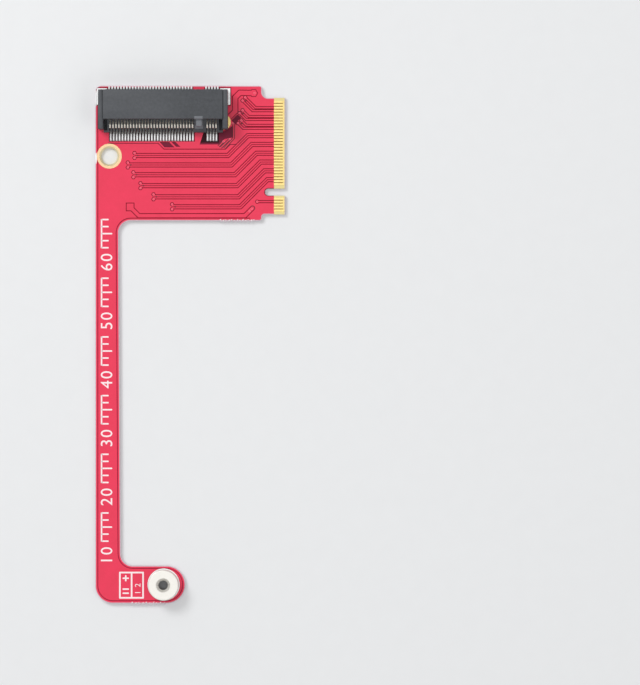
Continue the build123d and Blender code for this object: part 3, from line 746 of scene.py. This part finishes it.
def solder_bump(width, length, height):
    """One mound of solder with its foot at the origin, wider at the foot than at the top."""
    clear_selection()
    bpy.ops.mesh.primitive_cube_add(size=1, location=(0, 0, height / 2))
    bump = bpy.context.object
    bump.scale = (width, length, height)
    apply_place()
    bpy.ops.object.mode_set(mode="EDIT")
    bpy.ops.mesh.select_all(action="DESELECT")
    bpy.ops.object.mode_set(mode="OBJECT")
    for face in bump.data.polygons:
        face.select = face.normal.z > FACES_UP
    bpy.ops.object.mode_set(mode="EDIT")
    bpy.ops.transform.resize(value=SOLDER_TAPER, center_override=(0, 0, height))
    bpy.ops.mesh.select_all(action="SELECT")
    bpy.ops.mesh.bevel(offset=min(width, height) * SOLDER_ROUNDING, segments=3, affect="EDGES")
    bpy.ops.object.mode_set(mode="OBJECT")
    return bump


def row_of(pattern, places, name, material, slot):
    """Copies of one small piece set at each place, joined as one piece."""
    copies = []
    for place in places:
        copy = bpy.data.objects.new(name, pattern.data.copy())
        copy.data.transform(Matrix.Translation(place))
        bpy.context.scene.collection.objects.link(copy)
        copies.append(copy)
    bpy.data.objects.remove(pattern)
    softened(finished(joined(copies), name, material, slot), ROUND_PIECES)


def tail_places(first_offset, steps, y):
    """The feet of the tails of one row, from the offset of its first one left of the socket's middle."""
    return [(SOCKET_X - (first_offset - CONTACT_PITCH * step) * MM, y, BOARD_FRONT) for step in steps]


def tail_solder():
    """Solder over the tails behind the socket and in front of it."""
    rear = tail_places(FIRST_ODD_OFFSET, ODD_STEPS, REAR_TAIL_Y)
    rear_bump = solder_bump(*REAR_SOLDER)
    row_of(rear_bump, rear, "rear_tail_solder", TIN, "solder_tin")
    front = tail_places(FIRST_EVEN_OFFSET, EVEN_STEPS, FRONT_TAIL_Y)
    front_bump = solder_bump(*FRONT_SOLDER)
    row_of(front_bump, front, "front_tail_solder", TIN, "solder_tin")


tail_solder()


# Vias: a raised rim round each plugged hole with a painted highlight, and a dimple between the holes of
# a pair painted dark as shade

RUN_LEVELS = (0.12, -1.5, -3.17, -5.03, -6.93, -8.63)
RUN_VIA_XS = (4.29, 3.15, 4.1, 5.31, 7.53, 10.7)
SHORT_PAIR_VIAS = ((23.16, 10.02, 22.7, 9.48), (22.7, 7.82, 22.2, 7.33), (22.5, 6.1, 21.94, 5.62))
SINGLE_VIAS = ((25.2, -7.75), (24.75, 10.75), (24.28, -8.98), (23.9, -9.36))
VIA_SPREAD = 0.42
RIM_RADIUS = 0.15
RIM_THICKNESS = 0.035
DIMPLE_RADIUS = 0.13

# Where the dimple of a long pair lies beside its vias, and that of a short pair between its vias
LONG_PAIR_DIMPLE = 0.5
SHORT_PAIR_DIMPLE = (0.08, -0.05)

# Short tracks by the socket's lower right corner, each with a via at its head
SHORT_TRACKS = (
    ((21.04, 5.58), (21.2, 5.2), (21.2, 3.1), (19.6, 1.3)),
    ((20.5, 2.89), (19.0, 1.45)),
    ((19.43, 2.5), (18.6, 1.65)),
)

# The rounded end of the wide supply track by the tongue
SUPPLY_END = (24.39, -8.86)
SUPPLY_END_RADIUS = 0.375
SUPPLY_END_TURNS = range(135, -46, -15)

# Width and height over the copper of a cleared line, of the track in it, and of the supply end's line
GROOVE_SIZE = (0.46, 0.008)
TRACK_SIZE = (0.2, 0.014)
SUPPLY_GROOVE_SIZE = (0.16, 0.008)


def via_places():
    """Places of the front vias and of the dimples beside the pairs, in millimetres."""
    vias = []
    dimples = []
    for level, via_x in zip(RUN_LEVELS, RUN_VIA_XS):
        vias += [(via_x, level + VIA_SPREAD), (via_x, level - VIA_SPREAD)]
        dimples.append((via_x + LONG_PAIR_DIMPLE, level))
    for outer_x, outer_y, inner_x, inner_y in SHORT_PAIR_VIAS:
        vias += [(outer_x, outer_y), (inner_x, inner_y)]
        dimples.append((outer_x + SHORT_PAIR_DIMPLE[0], inner_y + SHORT_PAIR_DIMPLE[1]))
    vias += [*SINGLE_VIAS, *(route[0] for route in SHORT_TRACKS)]
    return vias, dimples


def on_front(places):
    """Places given in millimetres, as points on the front of the board."""
    return [(x * MM, y * MM, BOARD_FRONT) for x, y in places]


def via_details():
    """Rims of the vias on the front, with a painted highlight, and dimples painted dark as shade."""
    vias, dimples = via_places()
    clear_selection()
    bpy.ops.mesh.primitive_torus_add(
        major_radius=RIM_RADIUS * MM,
        minor_radius=RIM_THICKNESS * MM,
        major_segments=16,
        minor_segments=6,
    )
    rim = bpy.context.object
    rim.scale = (1, 1, 0.5)
    apply_place()
    row_of(rim, on_front(vias), "via_rims_highlight", RIM_HIGHLIGHT, "red_mask")
    clear_selection()
    bpy.ops.mesh.primitive_uv_sphere_add(segments=16, ring_count=8, radius=DIMPLE_RADIUS * MM)
    dimple = bpy.context.object
    dimple.scale = (1.2, 1, 0.12)
    apply_place()
    # The dimples are painted dark: painted shade where the mask dips
    row_of(dimple, on_front(dimples), "via_dimple_shade", DARK_LINE_AND_DIMPLE_SHADE, "red_mask")


via_details()


def flat_route(route, width, height):
    """A strip with rounded edges that follows a route over the front, given in millimetres."""
    clear_selection()
    line = bpy.data.curves.new("route", "CURVE")
    line.dimensions = "3D"
    line.bevel_depth = width / 2 * MM
    line.bevel_resolution = 2
    line.use_fill_caps = True
    spline = line.splines.new("POLY")
    spline.points.add(len(route) - 1)
    for point, (x, y) in zip(spline.points, route):
        point.co = (x * MM, y * MM, 0, 1)
    strip = bpy.data.objects.new("route", line)
    bpy.context.scene.collection.objects.link(strip)
    take(strip)
    bpy.ops.object.convert(target="MESH")
    strip = bpy.context.object
    strip.scale = (1, 1, 2 * height / width)
    strip.location = (0, 0, BOARD_FRONT)
    apply_place()
    return strip


def short_tracks():
    """The tracks under mask, each in the dark line that clears it from the copper around."""
    for name, size, material in (
        ("short_track_grooves", GROOVE_SIZE, DARK_LINE_AND_DIMPLE_SHADE),
        ("short_tracks", TRACK_SIZE, MASK),
    ):
        strips = [flat_route(route, *size) for route in SHORT_TRACKS]
        softened(finished(joined(strips), name, material, "red_mask"), ROUND_PIECES)


short_tracks()


def supply_end():
    """The dark line that closes the wide supply track round its end by the tongue."""
    route = []
    for degrees in SUPPLY_END_TURNS:
        turn = math.radians(degrees)
        across = SUPPLY_END[0] + SUPPLY_END_RADIUS * math.cos(turn)
        route.append((across, SUPPLY_END[1] + SUPPLY_END_RADIUS * math.sin(turn)))
    strip = flat_route(route, *SUPPLY_GROOVE_SIZE)
    softened(finished(strip, "supply_end_groove", DARK_LINE_AND_DIMPLE_SHADE, "red_mask"), ROUND_PIECES)


supply_end()


# Bright cut copper where the panel's tabs left the board's left edge

# Middle and length of the slivers beside the mounting hole and beside the socket
SLIVERS = ((-0.33, 1.95), (9.85, 2.8))
SLIVER_X = -2.25
SLIVER_HALF_WIDTH = 0.15
SLIVER_HALF_HEIGHT = 0.06


def edge_slivers():
    """Two bright slivers along the left edge."""
    parts = []
    for middle, length in SLIVERS:
        clear_selection()
        bpy.ops.mesh.primitive_uv_sphere_add(segments=24, ring_count=12, radius=MM)
        sliver = bpy.context.object
        sliver.scale = (SLIVER_HALF_WIDTH, length / 2, SLIVER_HALF_HEIGHT)
        sliver.location = (SLIVER_X * MM, middle * MM, BOARD_FRONT - 0.01 * MM)
        apply_place()
        parts.append(sliver)
    softened(finished(joined(parts), "edge_slivers", TIN, "solder_tin"), ROUND_PIECES)


edge_slivers()


# Torn glass fibre where the tabs of the panel broke off

# Half the length, width and height of a tuft, and how far the first two vary
TUFT = (0.15, 0.075, 0.08)
TUFT_SWAY = 0.05
TUFT_SWELL = 0.02

# The turn of the tufts in degrees, and how far they vary in turn, along the edge and across it
TUFT_TURN = 40
TURN_SWAY = 18
ALONG_SWAY = 0.06
ACROSS_SWAY = 0.05


def torn_fibres(name, left, right, edge_y, count):
    """A row of small bright tufts along a lower edge, each leaning and sized a little differently."""
    tufts = []
    for index in range(count):
        clear_selection()
        bpy.ops.mesh.primitive_ico_sphere_add(subdivisions=2, radius=MM)
        tuft = bpy.context.object
        sway = math.sin(index * 2.4)
        swell = math.cos(index * 1.7)
        drift = math.cos(index * 3.1)
        tuft.scale = (TUFT[0] + TUFT_SWAY * sway, TUFT[1] + TUFT_SWELL * swell, TUFT[2])
        tuft.rotation_euler = (0, 0, math.radians(TUFT_TURN + TURN_SWAY * sway))
        along = left + (right - left) * (index + 0.5) / count + ALONG_SWAY * sway
        across = edge_y + ACROSS_SWAY * drift
        tuft.location = (along * MM, across * MM, BOARD_FRONT - 0.02 * MM)
        apply_place()
        tufts.append(tuft)
    softened(finished(joined(tufts), name, FIBRE, "laminate"), ROUND_PIECES)


torn_fibres("head_fibres", left=18.7, right=24.9, edge_y=-10.88, count=13)
torn_fibres("foot_fibres", left=3.6, right=9.6, edge_y=-76.08, count=10)


# Standoff with its thread

# Radii of the post, and its levels over the board's underside, in millimetres
POST_RADIUS = 2.575
POST_RIM = 0.14
MOUTH_RADIUS = 1.2
BORE_RADIUS = 0.8
THREAD_RADIUS = 0.92
SHANK_RADIUS = 1.55
POST_TOP = 3.3
POST_SEAT = 0.8
POST_BOTTOM = 0.1
THREAD_TURNS = 5

# One turn of the thread: its share of the rise, and the radii it runs between
THREAD_PROFILE = (
    (0.2, BORE_RADIUS, BORE_RADIUS),
    (0.3, BORE_RADIUS, THREAD_RADIUS),
    (0.2, THREAD_RADIUS, THREAD_RADIUS),
    (0.3, THREAD_RADIUS, BORE_RADIUS),
)


def select_cap(piece, upwards):
    """Selects the topmost flat faces, or with -1 the lowest ones, and leaves the piece in edit mode."""
    bpy.ops.object.mode_set(mode="OBJECT")
    for face in piece.data.polygons:
        face.select = False
    caps = [face for face in piece.data.polygons if face.normal.z * upwards > FACES_UP]
    level = max(face.center.z * upwards for face in caps)
    for face in caps:
        face.select = abs(face.center.z * upwards - level) < 0.001 * MM
    bpy.ops.object.mode_set(mode="EDIT")


def extrude_down(depth):
    """Carries the selected faces down by a depth in millimetres, with walls behind them."""
    bpy.ops.mesh.extrude_region_move(TRANSFORM_OT_translate={"value": (0, 0, -depth * MM)})


def sink(depth, old_radius, new_radius):
    """Carries the selected round face down the post's axis and gives it a new radius."""
    extrude_down(depth)
    share = new_radius / old_radius
    bpy.ops.transform.resize(value=(share, share, 1), center_override=(STANDOFF.x, STANDOFF.y, 0))


def threaded_post():
    """A turned post: countersunk mouth, thread grooves down the bore, shank through the board."""
    clear_selection()
    bpy.ops.mesh.primitive_cylinder_add(
        vertices=96,
        radius=POST_RADIUS * MM,
        depth=(POST_TOP - POST_SEAT) * MM,
        location=(STANDOFF.x, STANDOFF.y, (POST_TOP + POST_SEAT) / 2 * MM),
    )
    post = bpy.context.object
    apply_place()

    countersink = MOUTH_RADIUS - BORE_RADIUS
    rise = (POST_TOP - POST_BOTTOM - 2 * countersink) / THREAD_TURNS
    bpy.ops.object.mode_set(mode="EDIT")
    bpy.ops.mesh.select_all(action="DESELECT")
    select_cap(post, 1)
    bpy.ops.mesh.inset(thickness=POST_RIM * MM)
    sink(0, POST_RADIUS - POST_RIM, MOUTH_RADIUS)
    sink(countersink, MOUTH_RADIUS, BORE_RADIUS)
    for share, old_radius, new_radius in THREAD_PROFILE * THREAD_TURNS:
        sink(rise * share, old_radius, new_radius)
    sink(countersink, BORE_RADIUS, MOUTH_RADIUS)
    bpy.ops.mesh.delete(type="ONLY_FACE")

    select_cap(post, -1)
    bpy.ops.mesh.inset(thickness=(POST_RADIUS - SHANK_RADIUS) * MM)
    extrude_down(POST_SEAT - POST_BOTTOM)
    bpy.ops.mesh.inset(thickness=(SHANK_RADIUS - MOUTH_RADIUS) * MM)
    bpy.ops.mesh.delete(type="ONLY_FACE")
    bpy.ops.mesh.select_all(action="SELECT")
    bpy.ops.mesh.remove_doubles(threshold=0.002 * MM)
    bpy.ops.mesh.normals_make_consistent(inside=False)
    bpy.ops.object.mode_set(mode="OBJECT")
    eased(post, 0.1, 3, 50)
    finished(post, "threaded_post", TURNED, "standoff_steel", "threaded_standoff")
    softened(post, 35)


threaded_post()


# Print: a plain millimetre scale along the arm, and a frame of two cells by the standoff

PRINT_HEIGHT = 0.012 * MM
PRINT_LEVEL = BOARD_FRONT - 0.002 * MM

# The font's size that gives characters one unit high
FONT_SIZE = 1.42

# Bars that cross others lie this much higher, so no two faces share a level
CROSSING_LIFT = 0.003

# The scale: its first number's level and how far below a level a number starts
SCALE_START = -68.0
SCALE_NUMBERS = 6
CENTIMETRE = 10
NUMBER_X = 0.5
NUMBER_HEIGHT = 2.0
NUMBER_DROP = 1.6

# The scale's ticks over each number, and the line that joins them
SPINE = (-1.45, -1.2)
SPINE_START = 2.3
SPINE_END = 7.3
TICK_START = 2.4
TICK_LEFT = -1.3
TICK_RIGHT = -0.1
LONG_TICK_RIGHT = 0.5
TICKS = 5
TICK_STEP = 1.2
HALF_TICK = 0.13

# The frame: its uprights, its lower and upper edge, and half the width of its lines
FRAME_LEFT, FRAME_MIDDLE, FRAME_RIGHT = 1.8, 3.8, 5.75
FRAME_LOW, FRAME_HIGH = -75.25, -70.95
HALF_LINE = 0.14


def printed_words(words, place, height):
    """Raised plain characters that read up the board, with the foot of the first at a place."""
    clear_selection()
    bpy.ops.object.text_add(location=(0, 0, 0))
    lettering = bpy.context.object
    lettering.data.body = words
    lettering.data.size = height * FONT_SIZE * MM
    lettering.data.resolution_u = 4
    lettering.data.space_character = 1.15
    lettering.data.extrude = PRINT_HEIGHT / 2
    bpy.ops.object.convert(target="MESH")
    lettering = bpy.context.object
    lettering.location = (place[0] * MM, place[1] * MM, PRINT_LEVEL + PRINT_HEIGHT / 2)
    lettering.rotation_euler = (0, 0, math.radians(90))
    apply_place()
    return lettering


def printed_bar(left, right, low, high, round_share=0.4, lift=0.0):
    """A raised bar of ink with rounded ends, between four limits in millimetres."""
    clear_selection()
    middle = ((left + right) / 2 * MM, (low + high) / 2 * MM, BOARD_FRONT + (0.004 + lift) * MM)
    bpy.ops.mesh.primitive_cube_add(size=1, location=middle)
    bar = bpy.context.object
    bar.scale = ((right - left) * MM, (high - low) * MM, PRINT_HEIGHT)
    bpy.ops.object.transform_apply(location=False, rotation=True, scale=True)
    bpy.ops.object.mode_set(mode="EDIT")
    bpy.ops.mesh.select_mode(type="EDGE")
    bpy.ops.mesh.select_all(action="DESELECT")
    bpy.ops.object.mode_set(mode="OBJECT")
    for edge in bar.data.edges:
        ends = [bar.data.vertices[index].co for index in edge.vertices]
        edge.select = abs(ends[0].z - ends[1].z) > PRINT_HEIGHT / 2
    bpy.ops.object.mode_set(mode="EDIT")
    bpy.ops.mesh.bevel(offset=min(right - left, high - low) * round_share * MM, segments=3)
    bpy.ops.mesh.select_mode(type="VERT")
    bpy.ops.object.mode_set(mode="OBJECT")
    return bar


def arm_scale():
    """Numbers each centimetre up the arm, with ticks beside them."""
    parts = []
    for count in range(SCALE_NUMBERS):
        level = SCALE_START + CENTIMETRE * count
        number = str(CENTIMETRE * (count + 1))
        parts.append(printed_words(number, (NUMBER_X, level - NUMBER_DROP), NUMBER_HEIGHT))
        parts.append(printed_bar(*SPINE, level + SPINE_START, level + SPINE_END))
        for step in range(TICKS):
            tick = level + TICK_START + TICK_STEP * step
            reach = LONG_TICK_RIGHT if step == TICKS // 2 else TICK_RIGHT
            parts.append(printed_bar(TICK_LEFT, reach, tick - HALF_TICK, tick + HALF_TICK))
    finished(joined(parts), "arm_scale", INK, "red_mask")


def cell_frame():
    """A frame of two cells, one with a plus and two bars, one with two plain numbers."""
    low, high = FRAME_LOW - HALF_LINE, FRAME_HIGH + HALF_LINE
    parts = [
        printed_bar(FRAME_LEFT - HALF_LINE, FRAME_LEFT + HALF_LINE, low, high),
        printed_bar(FRAME_MIDDLE - HALF_LINE, FRAME_MIDDLE + HALF_LINE, FRAME_LOW, FRAME_HIGH),
        printed_bar(FRAME_RIGHT - HALF_LINE, FRAME_RIGHT + HALF_LINE, low, high),
        printed_bar(FRAME_LEFT, FRAME_RIGHT, low, FRAME_LOW + HALF_LINE, 0.1, CROSSING_LIFT),
        printed_bar(FRAME_LEFT, FRAME_RIGHT, FRAME_HIGH - HALF_LINE, high, 0.1, CROSSING_LIFT),
        printed_bar(2.25, 3.35, -72.05, -71.79),
        printed_bar(2.67, 2.93, -72.45, -71.39, lift=CROSSING_LIFT),
        printed_bar(2.25, 3.35, -74.6, -74.34),
        printed_bar(2.25, 3.35, -73.9, -73.64),
        printed_words("1 2", (5.3, -74.7), 0.95),
    ]
    finished(joined(parts), "cell_frame", INK, "red_mask")


arm_scale()
cell_frame()
